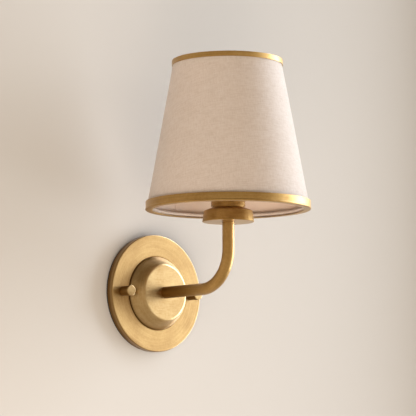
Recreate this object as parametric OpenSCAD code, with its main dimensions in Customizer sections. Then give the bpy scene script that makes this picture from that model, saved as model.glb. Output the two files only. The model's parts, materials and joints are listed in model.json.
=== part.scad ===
// Wall sconce: a round backplate with a raised hub, one bent arm, a turned cup and a tapered linen shade.
// The wall is the plane Y = 0, the light stands out from it towards -Y, and +Z is up.
// The origin is the middle of the pattern of box screws, on the arm's own axis.

/* [Backplate] */
// Diameter of the backplate
plate_d = 120; // [116:1:132]
// Distance from the wall to the backplate's front face
plate_depth = 9.8; // [9:0.1:16]
// Thickness of the backplate's metal
plate_wall = 2; // [1.6:0.1:2.4]
// Radius of the backplate's front edge
plate_edge = 1.1; // [0.8:0.1:2]
// Thickness of the foam gasket between the backplate and the wall
gasket_t = 2.4; // [1:0.1:3]
// Width of the gasket's ring
gasket_w = 3.8; // [3:0.1:4.6]

/* [Hub] */
// Diameter of the hub where it meets the backplate
hub_base_d = 75; // [72:1:80]
// Diameter of the hub's front face where it is still flat
hub_face_d = 53; // [50:1:56]
// Height of the hub above the backplate
hub_h = 13.4; // [11:0.1:16]
// Radius of the edge round the hub's front face
hub_edge = 4.4; // [3:0.1:5]
// Radius of the hub's side, which bulges a little
hub_side_r = 40; // [34:1:60]
// Height of the upright foot at the hub's base
hub_foot = 0.8; // [0.4:0.1:1.5]
// Thickness of the hub's front wall
hub_web = 3; // [2.4:0.1:4]
// Diameter of the hub's hollow at its mouth
hub_cavity_d = 50; // [48:1:52]
// Diameter of the screws that hold the hub to the backplate
hub_screw_d = 3; // [2.5:0.5:3]
// How far the hub's screws reach into the hub
hub_screw_reach = 5; // [3:0.5:6]

/* [Wall fixing] */
// Length of the crossbar beyond the middle of each stud
bar_end = 6.5; // [5.5:0.5:7.5]
// Height of the crossbar
bar_w = 16; // [14:1:18]
// Thickness of the crossbar
bar_t = 2; // [1.5:0.1:2.5]
// Diameter of the round middle of the crossbar
bar_boss_d = 40; // [39:1:44]
// Diameter of the cable hole in the crossbar
cable_hole_d = 20; // [18:1:21]
// Distance between the middles of the two slots for the box screws
slot_spacing = 70; // [68:1:72]
// Width of each slot
slot_w = 4.8; // [4.4:0.1:5.4]
// Length of each slot from end to end
slot_l = 12; // [10:1:13]
// Distance between the two studs that carry the backplate
stud_spacing = 91; // [90:0.5:95]
// Diameter of the studs
stud_d = 4; // [3.5:0.1:4.2]
// Distance across the flats of the stud nuts
stud_nut_af = 7; // [6.6:0.1:7.5]
// Height of the stud nuts
stud_nut_h = 3; // [2.4:0.1:3.4]
// Distance of the ground screw below the crossbar's middle
ground_z = 15; // [14.8:0.1:15.4]

/* [Knobs] */
// Diameter of a knob's body
knob_d = 10.2; // [9:0.1:10.8]
// Diameter of a knob's head
knob_head_d = 10.8; // [10.2:0.1:12]
// Height of a knob's head
knob_head_h = 2.8; // [2:0.1:4]
// Length of a knob
knob_h = 13.3; // [12:0.1:18]
// Depth of the tapped hole in a knob
knob_hole = 9; // [7:0.5:10]

/* [Arm] */
// Outer diameter of the arm's tube
arm_d = 12; // [11.6:0.1:14]
// Wall thickness of the arm's tube
arm_wall = 1; // [0.8:0.1:1.2]
// Distance from the wall to the axis of the cup and shade
arm_reach = 117; // [112:1:140]
// Radius of the bend along the tube's middle
bend_r = 38; // [30:1:46]
// Bore of the threaded nipples at both ends of the arm
nipple_bore = 7; // [6.6:0.1:7.4]
// Distance across the flats of the two nipple nuts
nipple_nut_af = 14; // [13:0.5:16]
// Height of the nipple nuts
nipple_nut_h = 3.2; // [2.6:0.1:4]
// Thickness of the lock washer behind the hub's front wall
washer_t = 0.9; // [0.6:0.1:1.4]

/* [Cup] */
// Height of the cup's underside above the arm's axis
cup_z = 64.5; // [60:0.5:80]
// Diameter of the cup at its underside
cup_d = 51.4; // [46:0.2:56]
// Height of the cup's side
cup_h = 11.5; // [10:0.1:14]
// How much smaller the cup's radius is at the top of its side
cup_taper = 1.3; // [0.4:0.1:2]
// Radius of the cup's top edge
cup_edge = 1.4; // [0.6:0.1:2]
// Rise of the cup's top towards the collar
cup_dome = 2.6; // [1.6:0.1:4]
// Thickness of the cup's floor
cup_floor = 2.5; // [2:0.1:3]
// Diameter of the collar above the cup
collar_d = 34; // [33:0.2:36]
// Wall thickness of the collar
collar_wall = 2; // [1.6:0.1:2.2]
// Height of the collar above the cup's top
collar_h = 14; // [12:0.5:18]

/* [Lampholder] */
// Outer diameter of the lampholder's thread
holder_d = 28; // [27:0.2:28.4]
// Height of the lampholder
holder_h = 42; // [40:0.5:46]
// Outer diameter of the bulb's screw cap
cap_d = 13.9; // [11.9:0.1:13.9]
// Running clearance of a part that turns on its thread
thread_gap = 0.05; // [0.02:0.01:0.08]

/* [Shade] */
// Outer diameter of the linen at the shade's top
shade_top_d = 107.8; // [100:0.2:120]
// Outer diameter of the linen at the shade's bottom
shade_bottom_d = 163; // [150:1:176]
// Height of the shade
shade_h = 150.5; // [140:0.5:180]
// Height of the shade's bottom edge above the arm's axis
shade_z = 76.5; // [75:0.5:80]
// Thickness of the linen
linen_t = 0.6; // [0.4:0.1:1]
// Thickness of the stiff liner
liner_t = 0.6; // [0.4:0.1:1]
// Height of the brass band round the shade's top
top_band_h = 5.2; // [4:0.1:8]
// Height of the brass band round the shade's bottom
bottom_band_h = 8.5; // [7:0.1:12]
// Height of the rounded lip along the bottom band's lower edge
band_bead_h = 2.2; // [1.4:0.1:3]
// How far the rounded lip stands out from the bottom band
band_bead_out = 0.4; // [0.2:0.05:0.8]
// Thickness of the brass bands
band_t = 0.7; // [0.5:0.1:1]
// How far the bands are turned in over the shade's edges
band_lip = 6.2; // [3:0.1:6.6]
// Diameter of the wire of the shade's rings and arms
wire_d = 2.8; // [2.4:0.1:3.2]
// Thickness of the linen rolled round the rings
hem_t = 0.7; // [0.5:0.1:0.9]
// Thickness of the fitter's flat ring
fitter_t = 1.6; // [1.2:0.1:2]
// Diameter of the fitter's flat ring
fitter_d = 37; // [35.5:0.5:40]
// Angle of the fitter's first arm from the right-hand side
fitter_turn = 47; // [0:1:119]
// Outer diameter of the ring that clamps the shade
clamp_d = 37; // [35:0.5:40]
// Height of the ring that clamps the shade
clamp_h = 6; // [5:0.5:8]

/* [Bulb] */
// Diameter of the bulb
bulb_d = 35; // [32:1:38]
// Height of the glass above the screw cap
bulb_glass_h = 76; // [64:1:84]
// Thickness of the bulb's glass
bulb_wall = 0.8; // [0.6:0.1:1]
// Diameter of the bulb's neck
bulb_neck_d = 16; // [15:0.2:17]

/* [Wiring] */
// Diameter of the insulated wires
lead_d = 2.2; // [1.8:0.1:2.4]
// Distance between the two wires inside the arm
lead_pitch = 2.7; // [2.5:0.1:2.8]
// Width of the terminal block
block_w = 16; // [15:0.5:17]
// Height of the terminal block
block_h = 10; // [9:0.5:10.5]
// Depth of the terminal block
block_t = 7.6; // [6.4:0.2:8]

/* [Hidden] */
$fn = 96;
// Overshoot of a cutter past the face that it cuts
cut = 1;
// Clearance between pieces that only lie against each other
seat = 0.1;
// Clearance of a piece that is dropped loosely over another
loose = 0.3;
// How much fatter a bend is than the straight runs that end inside it, and how far they run in
bend_skin = 0.03;
bend_lap = 0.5;
// Points on each rounded corner of a turned outline
arc_steps = 8;
// Sides of a wire, and its steps round a corner and round the arm's bend
wire_sides = 8;
corner_steps = 4;
bend_step = 9;

brass = [0.80, 0.62, 0.36];
steel = [0.72, 0.73, 0.74];
linen = [0.82, 0.74, 0.65];

// Backplate and hub
plate_r = plate_d / 2;
plate_back = plate_depth - plate_wall;
hub_face = plate_depth + hub_h;
hub_back = hub_face - hub_web;
hub_cavity_r = hub_cavity_d / 2;
hub_cavity_taper = 5;
hub_screw_r = hub_screw_d / 2;
hub_screw_circle = hub_cavity_r + 1.5 * hub_screw_d;
hub_screw_head_r = 1.85 * hub_screw_r;
hub_screw_head_h = 0.8 * plate_wall;
hub_screw_count = 3;
gasket_inset = 0.7;
stud_hole_gap = 0.5;

// Wall fixing
stud_r = stud_d / 2;
stud_x = stud_spacing / 2;
bar_l = stud_spacing + 2 * bar_end;
bar_rim_gap = 0.9;
bar_rim_r = plate_r - gasket_inset - gasket_w - bar_rim_gap;
stud_tip_gap = 1;
stud_end = plate_depth + knob_hole - stud_tip_gap;
nut_corner = 1 / cos(30);

// Arm and nipples
arm_r = arm_d / 2;
nipple_r = arm_r - arm_wall - thread_gap;
nipple_grip = 14;
nipple_proud = 0.7;
nut_corner_r = nipple_nut_af / 2 * nut_corner;
tag_t = 0.8;
nipple_tag_rim = 3.4;
nipple_tongue = 12;
screw_tag_rim = 1.4;
screw_tongue = 8;
washer_y = hub_back - tag_t;
rear_nut_y = washer_y - washer_t;
rear_nipple_end = rear_nut_y - nipple_nut_h - nipple_proud;

// Cup, collar and lampholder
cup_r = cup_d / 2;
cup_inner = cup_z + cup_floor;
cup_top = cup_z + cup_h + cup_dome;
collar_r = collar_d / 2;
collar_bore_r = collar_r - collar_wall;
collar_top = cup_top + collar_h;
cup_wall = 4.2;
holder_r = holder_d / 2;
holder_z = cup_inner + nipple_nut_h + seat;
holder_top = holder_z + holder_h;
holder_floor = 4;
mouth_gap = 3.2;
chamber_r = 10;
chamber_h = 10;
partition_t = 2;
holder_terminal_x = 5;
chamber_top = holder_z + holder_floor + chamber_h;
shell_z = chamber_top + partition_t;
cap_r = cap_d / 2;
shell_r = cap_r + thread_gap;
shell_t = 0.8;
shell_lift = 0.6;
shell_clear = 0.6;
thread_pitch = 2;
thread_depth = 0.5;

// Shade
shade_top = shade_z + shade_h;
wire_r = wire_d / 2;
hem_r = wire_r + thread_gap + hem_t;
glue = 0.05;
taper = atan((shade_bottom_d - shade_top_d) / 2 / shade_h);
linen_low = shade_z + band_t + seat;
linen_high = shade_top - band_t - seat;
bottom_ring_z = shade_z + band_t + seat + hem_r;
top_ring_z = shade_top - band_t - seat - hem_r;
fitter_z = collar_top + seat;
clamp_z = fitter_z + fitter_t + seat;
fitter_bore_r = holder_r + loose;
fitter_arm_start = collar_r + loose;
fitter_arms = 3;
fitter_bend_back = 7;
fitter_bend_r = 5;
arm_wire_r = wire_r - seat;

// Bulb
tongue_t = 0.3;
bulb_contact_z = shell_z + tongue_t + seat;
bulb_contact_h = 1;
bulb_rivet_r = 1.6;
insulator_h = 2.4;
insulator_inset = 1.6;
insulator_r = cap_r - insulator_inset;
cap_z = bulb_contact_z + bulb_contact_h + insulator_h;
cap_h = 20;
cap_t = 0.4;
cap_skirt_h = 2.6;
cap_collar_h = 1.2;
shell_h = cap_z + cap_h - cap_skirt_h - shell_clear - shell_z;
glass_z = cap_z + cap_h;
bulb_neck_r = bulb_neck_d / 2;
bulb_r = bulb_d / 2;
bulb_steps = 28;
stem_h = 16;
stem_r = 2.2;
stem_flare_h = 5;
stem_flare_rim = 0.8;
stem_hollow = 2;
filament_count = 4;
filament_h = 30;
filament_r = 0.8;

// Wiring
lead_r = lead_d / 2;
block_lift = 1;
block_z = cable_hole_d / 2 + block_lift + block_h / 2;
block_front = bar_t + block_t;
block_entry_x = block_w / 4;
block_entry_y = bar_t + 0.55 * block_t;
block_entry_depth = 3;
block_screw_r = 1.2;
block_screw_head_h = 1;
block_recess = 1.5;
block_clamp_r = 1.6;
block_clamp_h = 1.2;
lead_straight = 4;
lead_turn = 2;
lead_dip = 1.5;
terminal_size = [4, 5, 6];
terminal_hole_depth = 4;
rivet_r = 0.8;
rivet_x = 3;

// Outer radius of the linen at a height above the arm's axis
function linen_r(z) = (shade_bottom_d + (shade_top_d - shade_bottom_d) * (z - shade_z) / shade_h) / 2;
// Inner radius of the liner at a height
function liner_inner_r(z) = linen_r(z) - (linen_t + glue + liner_t) / cos(taper);
// Radius of a wire ring that lies inside the liner at a height
function ring_r(z) = liner_inner_r(z) - (hem_r + glue) / cos(taper);
// Points of an arc about a centre
function arc(x, y, r, from, to) =
    [for (i = [0:arc_steps]) let (a = from + (to - from) * i / arc_steps) [x + r * cos(a), y + r * sin(a)]];
function unit(v) = v / norm(v);
// A route of straight runs with its corners rounded off
function rounded(route, reach) = concat(
    [route[0]],
    [
        for (i = [1:len(route) - 2])
            let (corner = route[i],
                before = corner + reach * unit(route[i - 1] - corner),
                after = corner + reach * unit(route[i + 1] - corner))
            for (j = [0:corner_steps])
                let (t = j / corner_steps)
                (1 - t) * (1 - t) * before + 2 * t * (1 - t) * corner + t * t * after
    ],
    [route[len(route) - 1]]
);
// Point of a cubic curve with four control points
function curve(p, t) =
    pow(1 - t, 3) * p[0] + 3 * pow(1 - t, 2) * t * p[1] + 3 * (1 - t) * pow(t, 2) * p[2] + pow(t, 3) * p[3];

// Turns a piece drawn upright so that its base is on the wall and its top points out of the wall
module off_wall(distance = 0) {
    translate([0, -distance, 0]) rotate([90, 0, 0]) children();
}

// Puts a piece on the upright axis of the cup and shade
module on_cup_axis(z = 0) {
    translate([0, -arm_reach, z]) children();
}

module tube_ring(outer, inner, h) {
    linear_extrude(h) difference() {
        circle(outer);
        circle(inner);
    }
}

module hex_nut(across, h, bore) {
    difference() {
        cylinder(r = across / 2 * nut_corner, h = h, $fn = 6);
        translate([0, 0, -cut]) cylinder(r = bore, h = h + 2 * cut);
    }
}

// Round bar between two points
module rod(a, b, r) {
    d = b - a;
    length = norm(d);
    translate(a) rotate([0, acos(d[2] / length), atan2(d[1], d[0])]) cylinder(r = r, h = length);
}

// Wire of a few flat sides along a path that never runs along X
module wire_along(path, r) {
    last = len(path) - 1;
    points = [
        for (i = [0:last])
            let (ahead = unit(path[min(i + 1, last)] - path[max(i - 1, 0)]),
                side = unit([1, 0, 0] - ahead[0] * ahead),
                up = cross(ahead, side))
            for (k = [0:wire_sides - 1])
                let (a = 360 * k / wire_sides)
                path[i] + r * (cos(a) * side + sin(a) * up)
    ];
    end = last * wire_sides;
    first_cap = [for (k = [1:wire_sides - 2]) [0, k, k + 1]];
    last_cap = [for (k = [1:wire_sides - 2]) [end, end + k + 1, end + k]];
    skin = [
        for (i = [0:last - 1], k = [0:wire_sides - 1])
            let (a = i * wire_sides + k, b = i * wire_sides + (k + 1) % wire_sides)
            each [[a, b + wire_sides, b], [a, a + wire_sides, b + wire_sides]]
    ];
    polyhedron(points, concat(first_cap, skin, last_cap));
}

// Solid round bar that follows the arm's middle line, out from the wall and up through the bend
module arm_sweep(r, from_y, to_z) {
    translate([0, -from_y, 0]) rotate([90, 0, 0]) cylinder(r = r, h = arm_reach - bend_r - from_y);
    translate([0, bend_r - arm_reach, bend_r]) rotate([0, -90, 0]) rotate([0, 0, 180])
        rotate_extrude(angle = 90) translate([bend_r, 0]) circle(r);
    translate([0, -arm_reach, bend_r]) cylinder(r = r, h = to_z - bend_r);
}

module wall_gasket() {
    outer = plate_r - gasket_inset;
    color("dimgray") off_wall() tube_ring(outer, outer - gasket_w, gasket_t);
}

module hub_screw_places() {
    for (i = [0:hub_screw_count - 1]) rotate(90 + i * 360 / hub_screw_count)
        translate([hub_screw_circle, 0, 0]) children();
}

module backplate() {
    rim_r = plate_r - plate_wall;
    opening_r = hub_cavity_r;
    outline = concat(
        [[opening_r, plate_back], [rim_r, plate_back], [rim_r, gasket_t], [plate_r, gasket_t]],
        arc(plate_r - plate_edge, plate_depth - plate_edge, plate_edge, 0, 90),
        [[opening_r, plate_depth]]
    );
    color(brass) off_wall() difference() {
        rotate_extrude() polygon(outline);
        for (side = [-1, 1]) translate([side * stud_x, 0, 0])
            cylinder(r = stud_r + stud_hole_gap, h = plate_depth + cut);
        hub_screw_places() {
            translate([0, 0, plate_back - cut])
                cylinder(r = hub_screw_r + seat, h = plate_wall + 2 * cut);
            translate([0, 0, plate_back - cut])
                cylinder(r = hub_screw_head_r + seat, h = hub_screw_head_h + cut);
        }
    }
}

module hub() {
    base_r = hub_base_d / 2;
    edge_at = [hub_face_d / 2, hub_h - hub_edge];
    drop = [base_r, hub_foot] - edge_at;
    side_in = hub_side_r - hub_edge;
    // Angle at which the bulged side runs into the edge, with no corner between them
    join = atan2(drop.y, drop.x)
        + acos((hub_side_r * hub_side_r - side_in * side_in - drop * drop) / (2 * side_in * norm(drop)));
    side_at = edge_at - side_in * [cos(join), sin(join)];
    side_from = atan2(hub_foot - side_at.y, base_r - side_at.x);
    side = arc(side_at.x, side_at.y, hub_side_r, side_from, join);
    inner_top_r = hub_cavity_r - hub_cavity_taper;
    bore_r = nipple_r + 2 * seat;
    outline = concat(
        [[hub_cavity_r, 0], [base_r - hub_foot / 2, 0], [base_r - hub_foot / 2, hub_foot / 2],
            [base_r, hub_foot / 2]],
        [for (i = [0:arc_steps - 1]) side[i]],
        arc(edge_at.x, edge_at.y, hub_edge, join, 90),
        [[bore_r, hub_h], [bore_r, hub_h - hub_web], [inner_top_r, hub_h - hub_web]]
    );
    color(brass) off_wall(plate_depth) difference() {
        rotate_extrude() polygon(outline);
        hub_screw_places() translate([0, 0, -cut])
            cylinder(r = hub_screw_r + thread_gap, h = hub_screw_reach + 2 * cut);
    }
}

module hub_screws() {
    color(steel) off_wall(plate_back) hub_screw_places() {
        cylinder(r = hub_screw_head_r, h = hub_screw_head_h);
        cylinder(r = hub_screw_r, h = plate_wall + hub_screw_reach);
    }
}

module slot_cut() {
    half = (slot_l - slot_w) / 2;
    for (side = [-1, 1]) translate([side * half, 0, 0]) cylinder(r = slot_w / 2, h = bar_t + 2 * cut);
    translate([-half, -slot_w / 2, 0]) cube([2 * half, slot_w, bar_t + 2 * cut]);
}

module crossbar() {
    color(steel) off_wall() difference() {
        union() {
            intersection() {
                translate([-bar_l / 2, -bar_w / 2, 0]) cube([bar_l, bar_w, bar_t]);
                cylinder(r = bar_rim_r, h = bar_t);
            }
            cylinder(d = bar_boss_d, h = bar_t);
        }
        translate([0, 0, -cut]) {
            cylinder(d = cable_hole_d, h = bar_t + 2 * cut);
            for (side = [-1, 1]) {
                translate([side * slot_spacing / 2, 0, 0]) slot_cut();
                translate([side * stud_x, 0, 0]) cylinder(r = stud_r + thread_gap, h = bar_t + 2 * cut);
            }
            translate([0, -ground_z, 0]) cylinder(r = stud_r + thread_gap, h = bar_t + 2 * cut);
            translate([0, block_z, 0]) cylinder(r = block_screw_r + thread_gap, h = bar_t + 2 * cut);
        }
    }
}

module canopy_studs() {
    color(steel) off_wall() for (side = [-1, 1]) translate([side * stud_x, 0, 0])
        cylinder(r = stud_r, h = stud_end);
}

module stud_nuts() {
    color(steel) off_wall(bar_t) for (side = [-1, 1]) translate([side * stud_x, 0, 0])
        hex_nut(stud_nut_af, stud_nut_h, stud_r + thread_gap);
}

module ground_screw() {
    head_r = 1.8 * stud_r;
    head_z = bar_t + tag_t;
    slot = 0.8;
    color("green") off_wall() translate([0, -ground_z, 0]) difference() {
        union() {
            cylinder(r = stud_r, h = head_z + cut);
            translate([0, 0, head_z]) cylinder(r = head_r, h = stud_r);
        }
        translate([-head_r, -slot / 2, head_z + stud_r / 2]) cube([2 * head_r, slot, stud_r]);
    }
}

// Ring tag with a tongue that points down, round a hole with a rim of a given width
module ring_tag(hole_r, rim, tongue_l) {
    tongue_w = 4;
    difference() {
        union() {
            cylinder(r = hole_r + rim, h = tag_t);
            translate([-tongue_w / 2, -tongue_l, 0]) cube([tongue_w, tongue_l, tag_t]);
        }
        translate([0, 0, -cut]) cylinder(r = hole_r, h = tag_t + 2 * cut);
    }
}

module ground_tags() {
    color("peru") {
        off_wall(washer_y) ring_tag(nipple_r + seat, nipple_tag_rim, nipple_tongue);
        off_wall(bar_t) translate([0, -ground_z, 0])
            ring_tag(stud_r + thread_gap, screw_tag_rim, screw_tongue);
    }
}

module ground_lead() {
    start_y = washer_y - lead_r;
    end_y = bar_t + tag_t + seat;
    start_z = -nut_corner_r - loose;
    low_z = -ground_z - screw_tongue + lead_r;
    color("darkgreen") wire_along(rounded([
        [0, -start_y, start_z], [0, -start_y, start_z / 2 + low_z / 2], [0, -start_y / 2 - end_y / 2, low_z],
        [0, -end_y, low_z]
    ], lead_turn), lead_r - seat);
}

module terminal_block() {
    color("ivory") difference() {
        translate([-block_w / 2, -block_front, block_z - block_h / 2]) cube([block_w, block_t, block_h]);
        for (side = [-1, 1]) translate([side * block_entry_x, -block_entry_y, block_z - block_h / 2 - cut])
            cylinder(r = lead_r + seat, h = block_entry_depth + cut);
        for (side = [-1, 1], row = [-1, 1])
            translate([side * block_entry_x, -block_front + block_recess, block_z + row * block_h / 4])
                rotate([90, 0, 0]) cylinder(r = block_clamp_r + seat, h = block_recess + cut);
        translate([0, cut, block_z]) rotate([90, 0, 0])
            cylinder(r = block_screw_r + thread_gap, h = block_front + 2 * cut);
    }
}

module terminal_screws() {
    slot = 0.5;
    color(steel) {
        for (side = [-1, 1], row = [-1, 1])
            translate([side * block_entry_x, -block_front + block_recess, block_z + row * block_h / 4])
                rotate([90, 0, 0]) difference() {
                    cylinder(r = block_clamp_r, h = block_clamp_h);
                    translate([-block_clamp_r - cut, -slot / 2, block_clamp_h - slot])
                        cube([2 * (block_clamp_r + cut), slot, cut]);
                }
        translate([0, 0, block_z]) rotate([90, 0, 0]) {
            cylinder(r = block_screw_r, h = block_front + block_screw_head_h / 2);
            translate([0, 0, block_front]) cylinder(r = 2 * block_screw_r, h = block_screw_head_h);
        }
    }
}

module arm_tube() {
    color(brass) difference() {
        arm_sweep(arm_r, hub_face, cup_z);
        arm_sweep(arm_r - arm_wall, hub_face - cut, cup_z + cut);
    }
}

module nipple(h) {
    tube_ring(nipple_r, nipple_bore / 2, h);
}

module rear_nipple() {
    color(steel) off_wall(rear_nipple_end) nipple(hub_face + nipple_grip - rear_nipple_end);
}

module lock_washer() {
    teeth = 8;
    notch = 1.2;
    rim = 0.4;
    color(steel) off_wall(rear_nut_y) difference() {
        cylinder(r = nipple_nut_af / 2 + 1, h = washer_t);
        translate([0, 0, -cut]) cylinder(r = nipple_r + seat, h = washer_t + 2 * cut);
        for (i = [0:teeth - 1]) rotate(i * 360 / teeth)
            translate([nipple_nut_af / 2 + rim, -notch / 2, -cut])
                cube([1 + cut, notch, washer_t + 2 * cut]);
    }
}

module rear_nut() {
    color(steel) off_wall(rear_nut_y - nipple_nut_h)
        hex_nut(nipple_nut_af, nipple_nut_h, nipple_r + thread_gap);
}

module cup_nipple() {
    color(steel) on_cup_axis(cup_z - nipple_grip) nipple(holder_z + holder_floor - cup_z + nipple_grip);
}

module cup_nut() {
    color(steel) on_cup_axis(cup_inner) hex_nut(nipple_nut_af, nipple_nut_h, nipple_r + thread_gap);
}

module socket_cup() {
    top_r = cup_r - cup_taper;
    hollow_r = cup_r - cup_taper - cup_wall;
    hollow_top = cup_h - cup_edge;
    foot = 0.4;
    groove = 0.35;
    groove_pitch = 2;
    neck_in = 1.1;
    neck_h = 1.5;
    outline = concat(
        [[nipple_r + 2 * seat, 0], [cup_r - foot, 0], [cup_r, foot]],
        arc(top_r - cup_edge, cup_h - cup_edge, cup_edge, 0, 75),
        [[collar_r, cup_h + cup_dome], [collar_r, cup_h + cup_dome + collar_h],
            [collar_bore_r, cup_h + cup_dome + collar_h], [collar_bore_r, hollow_top],
            [hollow_r, hollow_top], [hollow_r, cup_floor], [nipple_r + 2 * seat, cup_floor]]
    );
    color(brass) on_cup_axis(cup_z) difference() {
        rotate_extrude() polygon(outline);
        translate([0, 0, cup_h + cup_dome]) tube_ring(collar_r + cut, collar_r - neck_in, neck_h);
        for (i = [1:3]) translate([0, 0, cup_h + cup_dome + neck_h + i * groove_pitch])
            tube_ring(collar_r + cut, collar_r - groove, 2 * groove);
    }
}

module lampholder_body() {
    rings = floor((holder_top - collar_top - 2) / thread_pitch);
    mouth_r = bulb_neck_r + mouth_gap;
    color([0.12, 0.11, 0.10]) on_cup_axis(holder_z) difference() {
        cylinder(r = holder_r, h = holder_h);
        translate([0, 0, -cut]) cylinder(r = nipple_r + seat, h = holder_floor + 2 * cut);
        translate([0, 0, holder_floor]) cylinder(r = chamber_r, h = chamber_h);
        translate([0, 0, shell_z - holder_z]) cylinder(r = shell_r + shell_t + seat, h = holder_h);
        translate([0, 0, shell_z - holder_z + shell_h]) cylinder(r = mouth_r, h = holder_h);
        for (side = [-1, 1]) translate([side * rivet_x, 0, chamber_top - holder_z - cut])
            cylinder(r = rivet_r + seat, h = partition_t + 2 * cut);
        for (i = [0:rings - 1]) translate([0, 0, collar_top - holder_z + 1 + i * thread_pitch])
            tube_ring(holder_r + cut, holder_r - thread_depth, thread_pitch / 2);
    }
}

module lampholder_shell() {
    bead_r = 0.3;
    bead_pitch = 2.4;
    height = shell_h - shell_lift;
    color(brass) on_cup_axis(shell_z + shell_lift) difference() {
        tube_ring(shell_r + shell_t, shell_r, height);
        for (i = [1:floor((height - 1) / bead_pitch)]) translate([0, 0, i * bead_pitch])
            rotate_extrude() translate([shell_r + shell_t, 0]) circle(bead_r);
    }
}

// The sprung tongue stands on the partition and its rivet goes down to the terminal
module lampholder_contact() {
    tongue_w = 4;
    color(brass) on_cup_axis(shell_z) {
        translate([-tongue_w / 2, -tongue_w / 2, 0]) cube([rivet_x + tongue_w, tongue_w, tongue_t]);
        translate([rivet_x, 0, -partition_t]) cylinder(r = rivet_r, h = partition_t + tongue_t);
    }
}

module lampholder_terminals() {
    size = terminal_size;
    color(brass) on_cup_axis(chamber_top - size[2]) for (side = [-1, 1])
        translate([side * holder_terminal_x - size[0] / 2, -size[1] / 2, 0]) difference() {
            cube(size);
            translate([size[0] / 2, size[1] / 2, -cut])
                cylinder(r = lead_r + seat, h = terminal_hole_depth + cut);
        }
}

// One insulated wire from the terminal block through the hub, the arm and the cup to the lampholder
module supply_wire(side) {
    x = side * lead_pitch / 2;
    far_x = side * holder_terminal_x;
    entry = [side * block_entry_x, -block_entry_y, block_z - block_h / 2];
    terminal_z = chamber_top - terminal_size[2];
    from_block = rounded([
        entry + [0, 0, block_entry_depth - seat], entry - [0, 0, lead_straight],
        [x, lead_r + seat - rear_nipple_end, 0], [x, -hub_back, 0]
    ], lead_turn);
    bend = [
        for (a = [0:bend_step:90])
            [x, bend_r - arm_reach - bend_r * sin(a), bend_r - bend_r * cos(a)]
    ];
    to_lampholder = rounded([
        [x, -arm_reach, cup_inner], [x, -arm_reach, holder_z + holder_floor],
        [far_x, -arm_reach, terminal_z - lead_dip],
        [far_x, -arm_reach, terminal_z + terminal_hole_depth - seat]
    ], 0.8 * lead_turn);
    wire_along(concat(from_block, bend, to_lampholder), lead_r);
}

module wire_live() {
    color("black") supply_wire(-1);
}

module wire_neutral() {
    color("white") supply_wire(1);
}

module knob(side) {
    edge = 0.7;
    r = knob_d / 2;
    head_r = knob_head_d / 2;
    neck = knob_h - knob_head_h;
    outline = concat(
        [[0, 0], [r - edge / 2, 0], [r, edge / 2], [r, neck - (head_r - r)], [head_r, neck]],
        arc(head_r - edge, knob_h - edge, edge, 0, 90),
        [[0, knob_h]]
    );
    color(brass) translate([side * stud_x, 0, 0]) off_wall(plate_depth + thread_gap) difference() {
        rotate_extrude() polygon(outline);
        translate([0, 0, -cut]) cylinder(r = stud_r + thread_gap, h = knob_hole + cut);
    }
}

module knob_left() {
    knob(-1);
}

module knob_right() {
    knob(1);
}

// Cone shell between two heights, inside an outer radius that follows the linen's taper
module cone_shell(inset, thickness, low, high) {
    across = thickness / cos(taper);
    rotate_extrude() polygon([
        [linen_r(low) - inset - across, low], [linen_r(low) - inset, low],
        [linen_r(high) - inset, high], [linen_r(high) - inset - across, high]
    ]);
}

module shade_linen() {
    color(linen) on_cup_axis() cone_shell(0, linen_t, linen_low, linen_high);
}

module shade_liner() {
    color("antiquewhite") on_cup_axis()
        cone_shell((linen_t + glue) / cos(taper), liner_t, linen_low, linen_high);
}

module shade_top_band() {
    inner = linen_r(shade_top - top_band_h) + glue;
    outer = inner + band_t;
    edge = band_t / 2;
    color(brass) on_cup_axis() rotate_extrude() polygon(concat(
        [[inner, shade_top - top_band_h], [outer, shade_top - top_band_h]],
        arc(outer - edge, shade_top - edge, edge, 0, 90),
        [[inner - band_lip, shade_top], [inner - band_lip, shade_top - band_t], [inner, shade_top - band_t]]
    ));
}

module shade_bottom_band() {
    inner = linen_r(linen_low) + glue;
    outer = inner + band_t;
    bead_r = band_bead_h / 2;
    bead_end = acos(1 - band_bead_out / bead_r);
    color(brass) on_cup_axis() rotate_extrude() polygon(concat(
        [[inner, shade_z + bottom_band_h], [inner, shade_z + band_t], [inner - band_lip, shade_z + band_t],
            [inner - band_lip, shade_z]],
        arc(outer + band_bead_out - bead_r, shade_z + bead_r, bead_r, -90, bead_end),
        [[outer, shade_z + bottom_band_h]]
    ));
}

module wire_torus(z, outer, inner = 0) {
    rotate_extrude() translate([ring_r(z), z]) difference() {
        circle(outer);
        if (inner > 0) circle(inner);
    }
}

module top_wire_ring() {
    color(steel) on_cup_axis() wire_torus(top_ring_z, wire_r);
}

module bottom_wire_ring() {
    color(steel) on_cup_axis() wire_torus(bottom_ring_z, wire_r);
}

module top_hem() {
    color(linen) on_cup_axis() wire_torus(top_ring_z, hem_r, wire_r + thread_gap);
}

// The fitter's arms run out level and then bend down to the bottom ring
module spider_arms(r) {
    z = fitter_z + fitter_t - seat - arm_wire_r;
    rim = ring_r(bottom_ring_z);
    lean = atan((z - bottom_ring_z) / fitter_bend_back);
    bend_x = rim - fitter_bend_back - fitter_bend_r * tan(lean / 2);
    bend_end = [bend_x + fitter_bend_r * sin(lean), z - fitter_bend_r * (1 - cos(lean))];
    for (i = [0:fitter_arms - 1]) rotate(fitter_turn + i * 360 / fitter_arms) {
        rod([fitter_arm_start, 0, z], [bend_x + bend_lap, 0, z], r);
        translate([bend_x, 0, z - fitter_bend_r]) rotate([0, -90, -90])
            rotate_extrude(angle = lean) translate([fitter_bend_r, 0]) circle(r + bend_skin);
        rod(
            [bend_end[0] - bend_lap * cos(lean), 0, bend_end[1] + bend_lap * sin(lean)],
            [rim, 0, bottom_ring_z], r
        );
    }
}

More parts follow.
